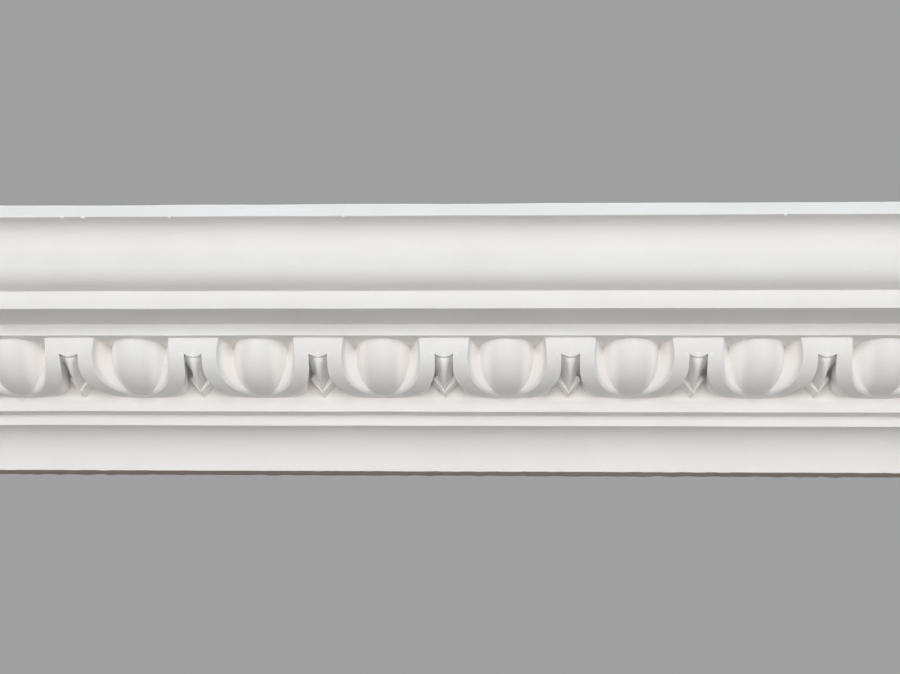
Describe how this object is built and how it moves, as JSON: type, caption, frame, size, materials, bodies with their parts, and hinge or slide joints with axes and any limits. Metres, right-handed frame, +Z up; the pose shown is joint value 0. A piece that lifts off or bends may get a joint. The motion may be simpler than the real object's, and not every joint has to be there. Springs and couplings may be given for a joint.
{
  "type": "cornice moulding",
  "caption": "Cast plaster cornice section with an egg-and-dart band under a cyma and a flat soffit, sawn square at both ends, bedded against wall and ceiling.",
  "frame": {"origin": "middle of the flat strip that is bedded on the wall, half way along the length", "axes": "+X along the wall, +Y into the wall, +Z up to the ceiling; the moulded face looks to -Y"},
  "size_m": [0.512, 0.1225, 0.1045],
  "materials": {
    "plaster": "matte white cast plaster on the moulded face, rougher and browner where it is bedded and sawn"
  },
  "bodies": {
    "root": {"cornice_moulding": "plaster"}
  },
  "joints": []
}
